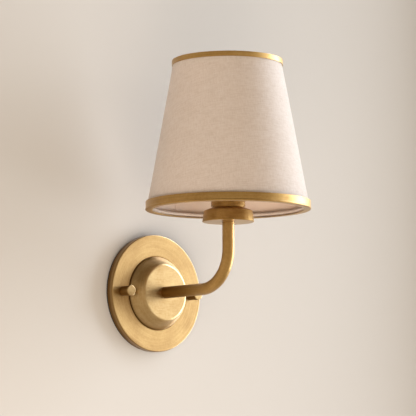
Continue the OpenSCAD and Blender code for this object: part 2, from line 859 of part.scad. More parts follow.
module bottom_hem() {
    color(linen) on_cup_axis() difference() {
        wire_torus(bottom_ring_z, hem_r, wire_r + thread_gap);
        spider_arms(arm_wire_r + seat);
    }
}

module fitter_spider() {
    color(brass) on_cup_axis() difference() {
        union() {
            translate([0, 0, fitter_z]) cylinder(d = fitter_d, h = fitter_t);
            spider_arms(arm_wire_r);
        }
        translate([0, 0, fitter_z - cut]) cylinder(r = fitter_bore_r, h = fitter_t + 2 * cut);
        wire_torus(bottom_ring_z, wire_r + thread_gap);
    }
}

module shade_clamp_ring() {
    grips = 12;
    grip_r = 2;
    grip_depth = 0.9;
    flange = 1.4;
    color(brass) on_cup_axis(clamp_z) difference() {
        cylinder(d = clamp_d, h = clamp_h);
        translate([0, 0, -cut]) cylinder(r = holder_r + thread_gap, h = clamp_h + 2 * cut);
        for (i = [0:grips - 1]) rotate(i * 360 / grips)
            translate([clamp_d / 2 + grip_r - grip_depth, 0, flange]) cylinder(r = grip_r, h = clamp_h);
    }
}

module bulb_cap() {
    top = cap_h - cap_skirt_h;
    collar = cap_h - cap_collar_h;
    neck = bulb_neck_r + thread_gap;
    foot = 1;
    groove_pitch = 2.8;
    groove_w = 1;
    color(steel) on_cup_axis(cap_z) difference() {
        rotate_extrude() polygon([
            [insulator_r, 0], [cap_r, foot], [cap_r, top], [neck + cap_t, collar], [neck + cap_t, cap_h],
            [neck, cap_h], [neck, collar], [cap_r - cap_t, top], [cap_r - cap_t, foot + cap_t / 2],
            [insulator_r, cap_t]
        ]);
        for (i = [1:5]) translate([0, 0, i * groove_pitch])
            tube_ring(cap_r + cut, cap_r - cap_t / 2, groove_w);
    }
}

module bulb_insulator() {
    top = insulator_h - seat;
    color([0.1, 0.1, 0.1]) on_cup_axis(cap_z - insulator_h)
        rotate_extrude() polygon([[0, 0], [insulator_r - 2, 0], [insulator_r, top], [0, top]]);
}

module bulb_contact() {
    color(steel) on_cup_axis(bulb_contact_z) {
        cylinder(r = bulb_rivet_r + 1, h = bulb_contact_h / 2);
        cylinder(r = bulb_rivet_r, h = bulb_contact_h);
    }
}

module bulb_glass() {
    control = [
        [bulb_neck_r, 0], [1.35 * bulb_r, 0.24 * bulb_glass_h], [1.13 * bulb_r, 0.7 * bulb_glass_h],
        [0, bulb_glass_h]
    ];
    inner_control = [
        [bulb_neck_r - bulb_wall, 0], [1.35 * bulb_r - bulb_wall, 0.24 * bulb_glass_h],
        [1.13 * bulb_r - bulb_wall, 0.7 * bulb_glass_h], [0, bulb_glass_h - 2 * bulb_wall]
    ];
    neck_low = -cap_collar_h + seat;
    color([0.95, 0.93, 0.88, 0.6]) on_cup_axis(glass_z) rotate_extrude() polygon(concat(
        [[bulb_neck_r - bulb_wall, neck_low], [bulb_neck_r, neck_low]],
        [for (i = [0:bulb_steps]) curve(control, i / bulb_steps)],
        [for (i = [bulb_steps:-1:0]) curve(inner_control, i / bulb_steps)]
    ));
}

module bulb_stem() {
    flare_r = bulb_neck_r - bulb_wall - seat;
    flare_low = seat - cap_collar_h;
    color([0.9, 0.9, 0.9, 0.5]) on_cup_axis(glass_z) rotate_extrude() polygon([
        [0, flare_low + stem_hollow], [flare_r, flare_low], [flare_r, flare_low + stem_flare_rim],
        [1.3 * stem_r, stem_flare_h], [stem_r, stem_h], [0, stem_h]
    ]);
}

module bulb_filaments() {
    low_r = 3.4;
    high_r = 6.2;
    hook_r = 0.3;
    hook_rise = 1;
    low_z = glass_z + stem_h - 2 * hook_rise;
    high_z = low_z + filament_h;
    color("gold") on_cup_axis() {
        for (i = [0:filament_count - 1]) rotate(i * 360 / filament_count) {
            rod([low_r, 0, low_z], [high_r, 0, high_z], filament_r);
            rod([0, 0, high_z + hook_rise], [high_r, 0, high_z - hook_rise], hook_r);
            rod([stem_r / 2, 0, low_z + hook_rise / 2], [low_r, 0, low_z + 1.5 * hook_rise], hook_r);
        }
        translate([0, 0, low_z]) cylinder(r = hook_r, h = filament_h + hook_rise + hook_r / 2);
    }
}

wall_gasket();
backplate();
hub();
hub_screws();
crossbar();
canopy_studs();
stud_nuts();
ground_screw();
ground_tags();
ground_lead();
terminal_block();
terminal_screws();
arm_tube();
rear_nipple();
lock_washer();
rear_nut();
cup_nipple();
cup_nut();
socket_cup();
lampholder_body();
lampholder_shell();
lampholder_contact();
lampholder_terminals();
wire_live();
wire_neutral();
knob_left();
knob_right();
shade_linen();
shade_liner();
shade_top_band();
shade_bottom_band();
top_wire_ring();
bottom_wire_ring();
top_hem();
bottom_hem();
fitter_spider();
shade_clamp_ring();
bulb_cap();
bulb_insulator();
bulb_contact();
bulb_glass();
bulb_stem();
bulb_filaments();
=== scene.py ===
import json
import math

import bmesh
import bpy
from mathutils import Matrix, Vector, noise


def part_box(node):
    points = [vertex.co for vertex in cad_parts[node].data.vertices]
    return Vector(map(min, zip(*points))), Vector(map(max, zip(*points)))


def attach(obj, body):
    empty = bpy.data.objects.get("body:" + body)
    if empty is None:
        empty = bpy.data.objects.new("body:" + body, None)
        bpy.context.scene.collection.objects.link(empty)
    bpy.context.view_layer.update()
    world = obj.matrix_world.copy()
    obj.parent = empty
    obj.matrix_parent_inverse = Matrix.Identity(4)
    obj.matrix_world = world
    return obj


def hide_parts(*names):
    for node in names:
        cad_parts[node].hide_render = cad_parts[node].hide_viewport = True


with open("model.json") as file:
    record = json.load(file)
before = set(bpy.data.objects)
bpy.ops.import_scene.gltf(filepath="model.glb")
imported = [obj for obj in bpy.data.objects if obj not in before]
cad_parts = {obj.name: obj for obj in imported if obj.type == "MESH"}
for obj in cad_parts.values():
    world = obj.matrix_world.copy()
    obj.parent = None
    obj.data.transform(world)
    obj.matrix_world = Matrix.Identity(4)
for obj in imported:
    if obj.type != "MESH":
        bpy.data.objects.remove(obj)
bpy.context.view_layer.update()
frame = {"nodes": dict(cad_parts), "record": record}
nodes = frame["nodes"]
print("frame loaded:", len(nodes), "nodes")

# Metres. The wall is Y = 0, the light stands out towards -Y, and cup and shade share one upright axis.
sconce = dict(
    reach=0.117,        # from the wall to the upright axis
    bend=0.038,         # radius of the arm's bend
    faceEdge=0.0265,    # radius where the hub's face rolls over
    faceRoll=0.0006,    # width of that edge
    knobAside=0.0455,   # from the middle to each knob
)


class Amount:
    # one socket, so that shader maths reads as plain sums
    def __init__(self, paint, socket):
        self.paint = paint
        self.socket = socket

    def out(self, name):
        return Amount(self.paint, self.socket.node.outputs[name])

    def __add__(self, other):
        return self.paint.sum("ADD", self, other)

    __radd__ = __add__

    def __sub__(self, other):
        return self.paint.sum("SUBTRACT", self, other)

    def __rsub__(self, other):
        return self.paint.sum("SUBTRACT", other, self)

    def __mul__(self, other):
        return self.paint.sum("MULTIPLY", self, other)

    __rmul__ = __mul__

    def __truediv__(self, other):
        return self.paint.sum("DIVIDE", self, other)

    def __pow__(self, other):
        return self.paint.sum("POWER", self, other)

    def swing(self, width):
        # grain lies about its middle, 0.5
        return (self - 0.5) * width


class Paint:
    # one material and its nodes
    def __init__(self, name, tree=None):
        if tree is None:
            self.material = bpy.data.materials.new(name)
            self.material.use_nodes = True
            tree = self.material.node_tree
        self.tree = tree
        self.tree.nodes.clear()

    def node(self, kind, settings=None, sockets=None, out=None):
        made = self.tree.nodes.new("ShaderNode" + kind)
        for key, value in (settings or {}).items():
            if key == "stops":
                self.setStops(made.color_ramp, value)
            else:
                setattr(made, key, value)
        for key, value in (sockets or {}).items():
            self.plug(made, key, value)
        found = [s for s in made.outputs if s.enabled and out in (None, s.identifier, s.name)]
        return Amount(self, found[0]) if found else None

    def plug(self, made, key, value):
        if isinstance(key, int):
            socket = made.inputs[key]
        else:
            named = [s for s in made.inputs if s.identifier == key]
            named += [s for s in made.inputs if s.name == key]
            socket = named[0]
        if isinstance(value, Amount):
            self.tree.links.new(value.socket, socket)
        elif socket.type == "RGBA" and len(value) == 3:
            socket.default_value = (*value, 1)
        else:
            socket.default_value = value

    def setStops(self, ramp, stops):
        while len(ramp.elements) < len(stops):
            ramp.elements.new(0.5)
        for element, (position, colour) in zip(ramp.elements, stops):
            element.position = position
            element.color = (*colour, 1)

    def sum(self, operation, *values):
        return self.node("Math", {"operation": operation}, dict(enumerate(values)))

    def blend(self, factor, first, second):
        return self.node(
            "Mix", {"data_type": "RGBA"},
            {"Factor_Float": factor, "A_Color": first, "B_Color": second}, "Result_Color")

    def tinge(self, tone, tones, stops=(0.2, 0.5, 0.8)):
        # a ramp through the deep, middle and pale tone
        return self.node("ValToRGB", {"stops": list(zip(stops, tones))}, {"Fac": tone}, "Color")

    def ease(self, value, low, high):
        return self.node(
            "MapRange", {"interpolation_type": "SMOOTHSTEP"},
            {"Value": value, "From Min": low, "From Max": high})

    def place(self):
        # X, Y and Z of the row frame, which every piece has as its own frame
        split = self.node("SeparateXYZ", None, {0: self.node("TexCoord", out="Object")})
        return split.out("X"), split.out("Y"), split.out("Z")

    def grain(self, parts, detail=2.0, roughness=0.5):
        spot = self.node("CombineXYZ", None, dict(enumerate(parts)))
        return self.node(
            "TexNoise", None,
            {"Vector": spot, "Scale": 1.0, "Detail": detail, "Roughness": roughness}, "Fac")

    def speckle(self, place, scale, detail=2.0, roughness=0.5):
        # grain that is alike in every direction; scale is in lumps to a metre
        return self.grain([part * scale for part in place], detail, roughness)

    def bump(self, height, depth, strength=1.0):
        return self.node("Bump", None, {"Strength": strength, "Distance": depth, "Height": height})

    def surface(self, sockets, glow=0.0, glowColour=None):
        # glow is the share of the light that cloth lets through
        shader = self.node("BsdfPrincipled", None, sockets)
        if glow:
            through = self.node("BsdfTranslucent", None, {"Color": glowColour})
            shader = self.node("MixShader", None, {0: glow, 1: shader, 2: through})
        self.node("OutputMaterial", None, {"Surface": shader})
        return self.material


# Ways to run round the pieces, for brushed and turned metal. Each gives (radius, cosine, sine, along).
def aroundWallAxis(paint, aside=0.0):
    x, y, z = paint.place()
    if aside:
        x = paint.sum("ABSOLUTE", x) - aside
    radius = (x * x + z * z) ** 0.5
    return radius, x / radius, z / radius, y


def aroundKnob(paint):
    return aroundWallAxis(paint, sconce["knobAside"])


def aroundUpright(paint):
    x, y, z = paint.place()
    deep = y + sconce["reach"]
    radius = (x * x + deep * deep) ** 0.5
    return radius, x / radius, deep / radius, z


def aroundArm(paint):
    x, y, z = paint.place()
    outward = paint.sum("MAXIMUM", sconce["bend"] - sconce["reach"] - y, 0.0)
    below = paint.sum("MAXIMUM", sconce["bend"] - z, 0.0)
    across = sconce["bend"] - (outward * outward + below * below) ** 0.5
    radius = (x * x + across * across) ** 0.5
    return radius, x / radius, across / radius, z - y


# Brush and lathe lines. Of each pair, the first sets how fine the lines are, the second how short.
brush = dict(
    latheFine=(2200, 2.6), latheBroad=(640, 1.5),
    turnedFine=(2600, 2.4), turnedRings=(2400, 2.4),
    hoopFine=(3600, 3.0), hoopBroad=(900, 1.4),
    tubeFine=(9, 26), tubeHair=(30, 55),
    level=(2600, 60),
)


def ringGrain(paint, across, cosine, sine, fine, short, detail=2.0, roughness=0.6):
    # streaks that run round the turn
    return paint.grain((across * fine, cosine * short, sine * short), detail, roughness)


def tubeGrain(paint, cosine, sine, along, fine, short, detail):
    # streaks that run along a tube
    return paint.grain((cosine * fine, sine * fine, along * short), detail, 0.6)


def latheLines(paint, radius, cosine, sine, along):
    # rings that fade in and out round the turn
    fine = ringGrain(paint, radius, cosine, sine, *brush["latheFine"])
    broad = ringGrain(paint, radius, cosine, sine, *brush["latheBroad"])
    return fine * 0.4 + broad * 0.6


def turnedLines(paint, radius, cosine, sine, along):
    # turning marks on side walls and on ends
    fine = ringGrain(paint, along, cosine, sine, *brush["turnedFine"])
    rings = ringGrain(paint, radius, cosine, sine, *brush["turnedRings"])
    return fine * 0.6 + rings * 0.4


def hoopLines(paint, radius, cosine, sine, along):
    # a strip that was polished along its length
    fine = ringGrain(paint, along, cosine, sine, *brush["hoopFine"])
    broad = ringGrain(paint, along, cosine, sine, *brush["hoopBroad"], 1.0, 0.5)
    return fine * 0.6 + broad * 0.4


def tubeLines(paint, radius, cosine, sine, along):
    fine = tubeGrain(paint, cosine, sine, along, *brush["tubeFine"], 3.0)
    hair = tubeGrain(paint, cosine, sine, along, *brush["tubeHair"], 2.0)
    return fine * 0.5 + hair * 0.5


def hubLines(paint, radius, cosine, sine, along):
    # the flank keeps its lathe rings, and the face is brushed level
    rings = latheLines(paint, radius, cosine, sine, along)
    fine, short = brush["level"]
    level = paint.grain((radius * cosine * short, 0.0, radius * sine * fine), 2.0, 0.6)
    face = paint.ease(radius, sconce["faceEdge"], sconce["faceEdge"] - sconce["faceRoll"])
    return rings + (level - rings) * face


# Darker brown zones on the brass: patina, and painted shade on the plate's side towards the wall, in the
# corner round the hub's foot, on the knob's shank behind its head and along the arm towards the hub. Each
# pair is where it starts and where it is full.
patinaAndShade = dict(
    side=(0.0594, 0.0598),          # radius of the plate's side
    sideDepth=(-0.0075, -0.0035),   # painted shade: the side darkens towards the wall
    plateSeam=(0.0387, 0.0379),     # radius of the seam round the hub, on the plate: a dark joint with painted shade in its corner
    hubSeam=(0.0366, 0.0376),       # and on the hub, the same dark joint and painted shade
    shank=(-0.0226, -0.0218),       # painted shade on the knob's shank, behind its head
    armRoot=(0.105, 0.03),          # painted shade along the arm, towards the hub
    sideEdge=0.62, sideBack=0.6,    # strength at the side's front edge, and the painted shade its back adds near the wall
    seamStrength=1.3, shankStrength=0.9, rootStrength=0.9,
)


def plateCorners(paint, radius, cosine, sine, along):
    # the plate's side: patina plus painted shade, darker still towards the wall
    depth = patinaAndShade["sideEdge"] + paint.ease(along, *patinaAndShade["sideDepth"]) * patinaAndShade["sideBack"]
    side = paint.ease(radius, *patinaAndShade["side"]) * depth
    # the seam round the hub's foot: a dark joint with painted shade in the corner
    seam = paint.ease(radius, *patinaAndShade["plateSeam"]) * patinaAndShade["seamStrength"]
    return paint.sum("MAXIMUM", side, seam)


def hubCorners(paint, radius, cosine, sine, along):
    # the hub's foot: a dark joint with painted shade in the corner
    return paint.ease(radius, *patinaAndShade["hubSeam"])


def knobShank(paint, radius, cosine, sine, along):
    # painted shade on the shank behind the knob's head
    return paint.ease(along, *patinaAndShade["shank"]) * patinaAndShade["shankStrength"]


def armRoot(paint, radius, cosine, sine, along):
    # painted shade: the arm darkens towards the hub
    return paint.ease(along, *patinaAndShade["armRoot"]) * patinaAndShade["rootStrength"]


# What age does to all the brass, with the tint of its patina and painted shade. Scales are in lumps to a
# metre.
age = dict(
    patches=42, flecks=420,
    patchTone=1.0, lineTone=1.25, fleckTone=0.6,
    patchRough=0.16, lineRough=0.22, fleckRough=0.10,
    toneStops=(0.18, 0.5, 0.82),
    patinaAndShadeTint=(0.47, 0.41, 0.26),  # patina and painted shade, as a share of the deepest tone
    patinaAndShadeLeast=0.55, patinaAndShadePatchy=0.6,
    coatLost=0.75,                  # share of the lacquer taken off under the patina and painted shade
    coatRough=0.3, coatIndex=1.5,
    lineDepth=0.00007,
)


def brass(name, way, pattern, tones, rough=0.36, coat=1.0, patinaAndShadeAt=None):
    # aged satin brass: patches of tone, brush or lathe lines, a thin clear lacquer, and darker brown where
    # patina and painted shade lie
    paint = Paint(name)
    turn = way(paint)
    lines = pattern(paint, *turn)
    place = paint.place()
    cloud = paint.speckle(place, age["patches"], 4.0, 0.55)
    fleck = paint.speckle(place, age["flecks"], 3.0, 0.6)
    mottle = cloud.swing(age["patchTone"]) + lines.swing(age["lineTone"]) + fleck.swing(age["fleckTone"])
    colour = paint.tinge(0.5 + mottle, tones, age["toneStops"])
    # patina and painted shade: a browner tone and less lacquer
    if patinaAndShadeAt:
        patinaAndShadeAmount = patinaAndShadeAt(paint, *turn) * (age["patinaAndShadeLeast"] + cloud * age["patinaAndShadePatchy"])
        patinaAndShadeBrown = tuple(c * k for c, k in zip(tones[0], age["patinaAndShadeTint"]))
        colour = paint.blend(patinaAndShadeAmount, colour, patinaAndShadeBrown)
        coat = coat - patinaAndShadeAmount * coat * age["coatLost"]
    worn = cloud.swing(age["patchRough"]) + lines.swing(age["lineRough"]) + fleck.swing(age["fleckRough"])
    return paint.surface({
        "Base Color": colour,
        "Metallic": 1.0,
        "Roughness": rough + worn,
        "Coat Weight": coat,
        "Coat Roughness": age["coatRough"],
        "Coat IOR": age["coatIndex"],
        "Normal": paint.bump(lines + fleck * 0.3, age["lineDepth"], 0.6),
    })


# Each brass piece's tones run from deep to pale.
brassLooks = dict(
    plate_brass=dict(
        way=aroundWallAxis, pattern=latheLines, patinaAndShadeAt=plateCorners, rough=0.38, coat=0.9,
        tones=((0.37, 0.21, 0.06), (0.45, 0.278, 0.091), (0.52, 0.34, 0.125))),
    hub_brass=dict(
        way=aroundWallAxis, pattern=hubLines, patinaAndShadeAt=hubCorners, rough=0.4, coat=0.8,
        tones=((0.40, 0.237, 0.074), (0.47, 0.308, 0.119), (0.54, 0.379, 0.165))),
    arm_brass=dict(
        way=aroundArm, pattern=tubeLines, patinaAndShadeAt=armRoot, rough=0.46, coat=0.4,
        tones=((0.37, 0.205, 0.052), (0.46, 0.27, 0.078), (0.54, 0.34, 0.115))),
    cup_brass=dict(
        way=aroundUpright, pattern=turnedLines, rough=0.4, coat=0.35,
        tones=((0.39, 0.215, 0.055), (0.48, 0.285, 0.08), (0.56, 0.355, 0.115))),
    knob_brass=dict(
        way=aroundKnob, pattern=turnedLines, patinaAndShadeAt=knobShank, rough=0.33,
        tones=((0.40, 0.245, 0.075), (0.48, 0.315, 0.115), (0.55, 0.375, 0.15))),
    band_brass=dict(
        way=aroundUpright, pattern=hoopLines, rough=0.47, coat=0.35,
        tones=((0.37, 0.205, 0.054), (0.46, 0.275, 0.082), (0.54, 0.345, 0.12))),
    fitter_brass=dict(
        way=aroundUpright, pattern=turnedLines, rough=0.4, coat=0.3,
        tones=((0.40, 0.23, 0.07), (0.48, 0.29, 0.095), (0.55, 0.35, 0.13))),
    socket_brass=dict(
        way=aroundUpright, pattern=hoopLines, rough=0.26, coat=0.0,
        tones=((0.62, 0.41, 0.16), (0.70, 0.49, 0.21), (0.78, 0.57, 0.27))),
)
finishes = {slot: brass(slot, **look) for slot, look in brassLooks.items()}
print("brass finishes:", len(finishes))


def platedMetal(name, tones, rough, spread=1.0):
    # plated or drawn metal with a faint spangle and rub marks
    paint = Paint(name)
    x, y, z = paint.place()
    cloud = paint.speckle((x, y, z), 160, 4.0, 0.6)
    rub = paint.grain((x * 900, y * 260, z * 260), 2.0, 0.6)
    tone = 0.5 + (cloud.swing(1.2) + rub.swing(0.6)) * spread
    return paint.surface({
        "Base Color": paint.tinge(tone, tones),
        "Metallic": 1.0,
        "Roughness": rough + cloud.swing(0.2) + rub.swing(0.1),
        "Normal": paint.bump(rub + cloud * 0.5, 0.00005, 0.5),
    })


platedLooks = dict(
    zinc_steel=dict(rough=0.36, tones=((0.44, 0.45, 0.47), (0.58, 0.59, 0.60), (0.68, 0.69, 0.68))),
    bare_copper=dict(rough=0.34, tones=((0.52, 0.24, 0.13), (0.66, 0.33, 0.20), (0.76, 0.43, 0.28))),
    ring_wire=dict(rough=0.4, tones=((0.42, 0.42, 0.42), (0.55, 0.55, 0.55), (0.64, 0.64, 0.63))),
    cap_metal=dict(
        rough=0.28, spread=0.7, tones=((0.62, 0.62, 0.63), (0.74, 0.74, 0.75), (0.82, 0.82, 0.82))),
    solder=dict(rough=0.38, tones=((0.50, 0.50, 0.51), (0.64, 0.64, 0.65), (0.74, 0.74, 0.74))),
    ground_green=dict(rough=0.34, tones=((0.03, 0.20, 0.06), (0.05, 0.29, 0.10), (0.08, 0.37, 0.14))),
)


def moulded(name, tones, rough, gloss=0.0, pore=700.0):
    # moulded plastic or insulation: a fine orange-peel skin with a little handling dust
    paint = Paint(name)
    place = paint.place()
    cloud = paint.speckle(place, 70, 3.0, 0.55)
    skin = paint.speckle(place, pore)
    return paint.surface({
        "Base Color": paint.tinge(0.5 + cloud.swing(1.3) + skin.swing(0.4), tones),
        "Roughness": rough + cloud.swing(0.2) + skin.swing(0.15),
        "Coat Weight": gloss,
        "Normal": paint.bump(skin, 0.00004, 0.5),
    })


mouldedLooks = dict(
    block_plastic=dict(rough=0.45, tones=((0.66, 0.62, 0.52), (0.76, 0.72, 0.61), (0.82, 0.79, 0.69))),
    wire_black=dict(
        rough=0.42, tones=((0.014, 0.014, 0.014), (0.025, 0.025, 0.026), (0.045, 0.044, 0.043))),
    wire_white=dict(rough=0.42, tones=((0.68, 0.68, 0.65), (0.78, 0.78, 0.75), (0.84, 0.84, 0.82))),
    wire_green=dict(rough=0.42, tones=((0.02, 0.18, 0.06), (0.03, 0.26, 0.09), (0.06, 0.34, 0.13))),
    phenolic=dict(
        rough=0.32, gloss=0.2, tones=((0.018, 0.014, 0.012), (0.032, 0.026, 0.022), (0.055, 0.045, 0.038))),
    cap_glass=dict(
        rough=0.12, gloss=0.5, tones=((0.010, 0.010, 0.012), (0.018, 0.018, 0.022), (0.035, 0.034, 0.038))),
    filament=dict(
        rough=0.6, pore=2600.0, tones=((0.70, 0.40, 0.06), (0.82, 0.52, 0.10), (0.90, 0.62, 0.17))),
)


def clearGlass(name, tint, rough):
    paint = Paint(name)
    x, y, z = paint.place()
    ripple = paint.grain((x * 60, y * 60, z * 40))
    return paint.surface({
        "Base Color": paint.blend(ripple, tint, (1.0, 1.0, 1.0)),
        "Roughness": rough + ripple.swing(0.04),
        "Transmission Weight": 1.0,
        "IOR": 1.46,
        "Normal": paint.bump(ripple, 0.00005, 0.3),
    })


glassLooks = dict(
    bulb_glass=dict(tint=(0.985, 0.97, 0.94), rough=0.035),
    stem_glass=dict(tint=(0.95, 0.96, 0.95), rough=0.05),
)


def foam(name, tones, cellsPerMetre):
    paint = Paint(name)
    place = paint.place()
    spot = paint.node("CombineXYZ", None, dict(enumerate(place)))
    cells = paint.node("TexVoronoi", None, {"Vector": spot, "Scale": cellsPerMetre}, "Distance")
    cloud = paint.speckle(place, 200, 3.0, 0.6)
    return paint.surface({
        "Base Color": paint.tinge(cells * 0.7 + cloud * 0.4, tones, (0.15, 0.5, 0.9)),
        "Roughness": 0.85 + cloud.swing(0.2),
        "Normal": paint.bump(cells, 0.00012, 0.8),
    })


foamLooks = dict(
    gasket_foam=dict(
        cellsPerMetre=1900.0,
        tones=((0.012, 0.010, 0.009), (0.028, 0.024, 0.021), (0.055, 0.048, 0.042))),
)
for make, looks in (
        (platedMetal, platedLooks), (moulded, mouldedLooks), (clearGlass, glassLooks), (foam, foamLooks)):
    finishes.update({slot: make(slot, **look) for slot, look in looks.items()})
print("other finishes:", len(finishes) - len(brassLooks))


# The shade is a cone, so its cloth is cut as a sector and its threads stay straight on that flat cut.
shade = dict(
    low=0.0765, high=0.2270, lowRadius=0.0815, highRadius=0.0539,
    clothLow=0.0773, clothHigh=0.2262,
    cloth=0.00045,          # thickness of the linen
    liner=0.0005,           # thickness of the stiff sheet
    clothInside=0.00012,    # from the cone in to the linen's outside
    linerInside=0.00068,    # from the cone in to the liner's outside
    glue=0.00006,
    lap=0.008,              # width of the glued seam at the back
    endRises=(2 * math.pi - 0.10, 2 * math.pi - 0.01),  # turns where a lap's upper end steps out
    startSinks=(0.11, 0.20),                            # turns where a lap's lower end comes back out
    uneven=0.00016, dents=1.3, dentsUp=9,               # a glued shade is never quite round
    rows=48, steps=360,
)
shade["slope"] = (shade["lowRadius"] - shade["highRadius"]) / (shade["high"] - shade["low"])
shade["sine"] = math.sin(math.atan(shade["slope"]))

# Linen threads and flaws. Scales are in lumps to a metre.
threads = dict(
    pitch=0.00072,          # from one thread to the next
    rise=0.58, dive=0.42,   # height of a thread, and how far it dives under its neighbour
    acrossSlub=980, warpSlub=150, weftSlub=140,
    patches=(48, 60), knots=420,
    knotFrom=0.66, knotFull=0.80,
    middle=0.47, warpTone=0.70, weftTone=0.68, patchTone=0.14, knotTone=0.12,
    weaveMiddle=0.6, weaveTone=0.52,
    depth=0.00018, glow=0.35,
)


def shadeRadius(z):
    return shade["lowRadius"] - shade["slope"] * (z - shade["low"])


def aroundShade(paint):
    # place up the shade and radius, with the turn counted from the front
    x, y, z = paint.place()
    front = 0 - y - sconce["reach"]
    return z, (x * x + front * front) ** 0.5, paint.sum("ARCTAN2", x, front)


def weave(paint, u, v, pitch):
    # height of a plain weave: each thread dives under its neighbours in turn
    acrossWarp = paint.sum("SINE", u * (math.pi / pitch))
    acrossWeft = paint.sum("SINE", v * (math.pi / pitch))
    over = acrossWarp * acrossWeft
    warp = paint.sum("ABSOLUTE", acrossWarp) * (threads["rise"] + over * threads["dive"])
    weft = paint.sum("ABSOLUTE", acrossWeft) * (threads["rise"] - over * threads["dive"])
    return paint.sum("MAXIMUM", warp, weft)


def linenCloth(name, tones, cutAsSector):
    paint = Paint(name)
    z, radius, turn = aroundShade(paint)
    if cutAsSector:
        slant = radius / shade["sine"]
        u = slant * paint.sum("SINE", turn * shade["sine"])
        v = slant * paint.sum("COSINE", turn * shade["sine"])
    else:
        u = turn * radius
        v = z + radius
    warpSlub = paint.grain((u * threads["acrossSlub"], v * threads["warpSlub"], 0.0), 1.5, 0.55)
    weftSlub = paint.grain((u * threads["weftSlub"], v * threads["acrossSlub"], 4.7), 1.5, 0.55)
    cloud = paint.grain((u * threads["patches"][0], v * threads["patches"][1], 9.3), 3.0, 0.6)
    lumps = paint.grain((u * threads["knots"], v * threads["knots"], 2.1), 1.0, 0.5)
    knots = paint.ease(lumps, threads["knotFrom"], threads["knotFull"])
    cross = weave(paint, u, v, threads["pitch"])
    tone = threads["middle"] + warpSlub.swing(threads["warpTone"]) + weftSlub.swing(threads["weftTone"])
    tone = tone + cloud.swing(threads["patchTone"])
    # thread tops paler and the dips between threads darker: painted shade in the weave
    tone = tone + (cross - threads["weaveMiddle"]) * threads["weaveTone"] - knots * threads["knotTone"]
    height = cross * 0.8 + warpSlub * 0.8 + weftSlub * 0.8 + knots * 0.5
    return paint.surface({
        "Base Color": paint.tinge(tone, tones, (0.12, 0.48, 0.86)),
        "Roughness": 0.86 + cloud.swing(0.2),
        "Sheen Weight": 0.45,
        "Sheen Roughness": 0.4,
        "Specular IOR Level": 0.25,
        "Normal": paint.bump(height, threads["depth"], 0.6),
    }, threads["glow"], tones[1])


def stiffLiner(name, tones, glow):
    paint = Paint(name)
    z, radius, turn = aroundShade(paint)
    cloud = paint.speckle(paint.place(), 55, 4.0, 0.6)
    fibre = paint.grain((turn * 130, z * 900, 0.0), 3.0, 0.6)
    return paint.surface({
        "Base Color": paint.tinge(0.5 + cloud.swing(0.9) + fibre.swing(0.5), tones),
        "Roughness": 0.55 + cloud.swing(0.2) + fibre.swing(0.15),
        "Normal": paint.bump(fibre, 0.00005, 0.5),
    }, glow, tones[1])


linenTones = ((0.70, 0.605, 0.525), (0.865, 0.777, 0.707), (0.95, 0.893, 0.843))
hemTones = ((0.72, 0.59, 0.49), (0.88, 0.76, 0.67), (0.95, 0.87, 0.79))
linerTones = ((0.90, 0.79, 0.70), (0.95, 0.86, 0.78), (0.97, 0.91, 0.85))
finishes.update(
    linen=linenCloth("linen", linenTones, True),
    hem_linen=linenCloth("hem_linen", hemTones, False),
    liner=stiffLiner("liner", linerTones, 0.6),
)

for part in frame["record"]["subparts"]:
    for holder in nodes[part["node"]].material_slots:
        holder.material = finishes[part["material_slot"]]
print("finishes in all:", len(finishes))

creaseAngle = math.radians(34)  # a sharper edge than this isn't smoothed


def linked(name, mesh):
    made = bpy.data.meshes.new(name)
    mesh.to_mesh(made)
    mesh.free()
    piece = bpy.data.objects.new(name, made)
    bpy.context.scene.collection.objects.link(piece)
    return piece


def sweptRing(name, outlineAt, start, end, steps):
    # sweeps a closed outline of (radius, height) about the shade's axis; turn 0 is at the back
    whole = end - start > 2 * math.pi - 1e-6 and outlineAt(start) == outlineAt(end)
    mesh = bmesh.new()
    rows = []
    for i in range(steps if whole else steps + 1):
        turn = start + (end - start) * i / steps
        side, back = math.sin(turn), math.cos(turn)
        rows.append([mesh.verts.new((r * side, r * back - sconce["reach"], z)) for r, z in outlineAt(turn)])
    count = len(rows[0])
    for i in range(steps):
        here, there = rows[i], rows[(i + 1) % len(rows)]
        for j in range(count):
            mesh.faces.new((here[j], here[(j + 1) % count], there[(j + 1) % count], there[j]))
    if not whole:
        mesh.faces.new(rows[0])
        mesh.faces.new(rows[-1])
    bmesh.ops.recalc_face_normals(mesh, faces=mesh.faces)
    for face in mesh.faces:
        face.smooth = len(face.verts) == 4
    for edge in mesh.edges:
        edge.smooth = edge.calc_face_angle(0) < creaseAngle
    return linked(name, mesh)


def dress(piece, slot, *replaced):
    piece.data.materials.append(finishes[slot])
    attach(piece, "shade")
    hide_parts(*replaced)
    return piece


def smoothStep(value, low, high):
    t = min(max((value - low) / (high - low), 0), 1)
    return t * t * (3 - 2 * t)


def unevenness(turn, z):
    dents = shade["dents"]
    spot = (dents * math.sin(turn), dents * math.cos(turn), z * shade["dentsUp"])
    return shade["uneven"] * noise.noise(spot)


def sheetOutline(inside, thickness, endOut, startIn):
    # one thick sheet with its glued ends lapped at the back
    rise, rows = shade["clothHigh"] - shade["clothLow"], shade["rows"]
    heights = [shade["clothLow"] + rise * i / rows for i in range(rows + 1)]

    def outline(turn):
        shift = endOut * smoothStep(turn, *shade["endRises"])
        shift -= startIn * (1 - smoothStep(turn, *shade["startSinks"]))
        outer = [(shadeRadius(z) - inside + shift + unevenness(turn, z), z) for z in heights]
        inner = [(r - thickness, z) for r, z in reversed(outer)]
        return outer + inner
    return outline


